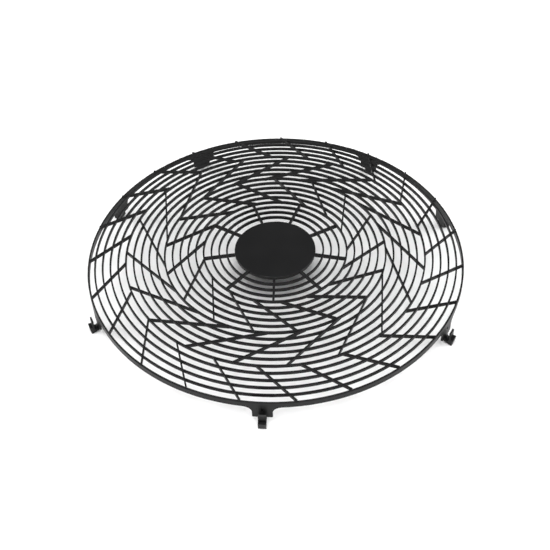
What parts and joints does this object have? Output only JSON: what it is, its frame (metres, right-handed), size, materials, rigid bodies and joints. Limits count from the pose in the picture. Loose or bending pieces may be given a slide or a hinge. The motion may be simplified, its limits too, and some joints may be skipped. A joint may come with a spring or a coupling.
{
  "type": "round fan guard",
  "caption": "Round moulded plastic fan guard with a solid hub disc, a low crown of concentric rings and zig-zag ribs, a skirted rim and U-shaped snap hooks on lugs below it.",
  "frame": {"origin": "on the guard's axis, in the plane of the lug shoulders that sit on the fan shroud", "axes": "+Z along the guard's axis towards the user's side of the grille, -Y towards the single front lug, +X to the right seen from the front lug with the grille up"},
  "size_m": [0.4, 0.4091, 0.0392],
  "materials": {
    "moulded_plastic": "black, satin"
  },
  "bodies": {
    "root": {"guard": "moulded_plastic"}
  },
  "joints": []
}
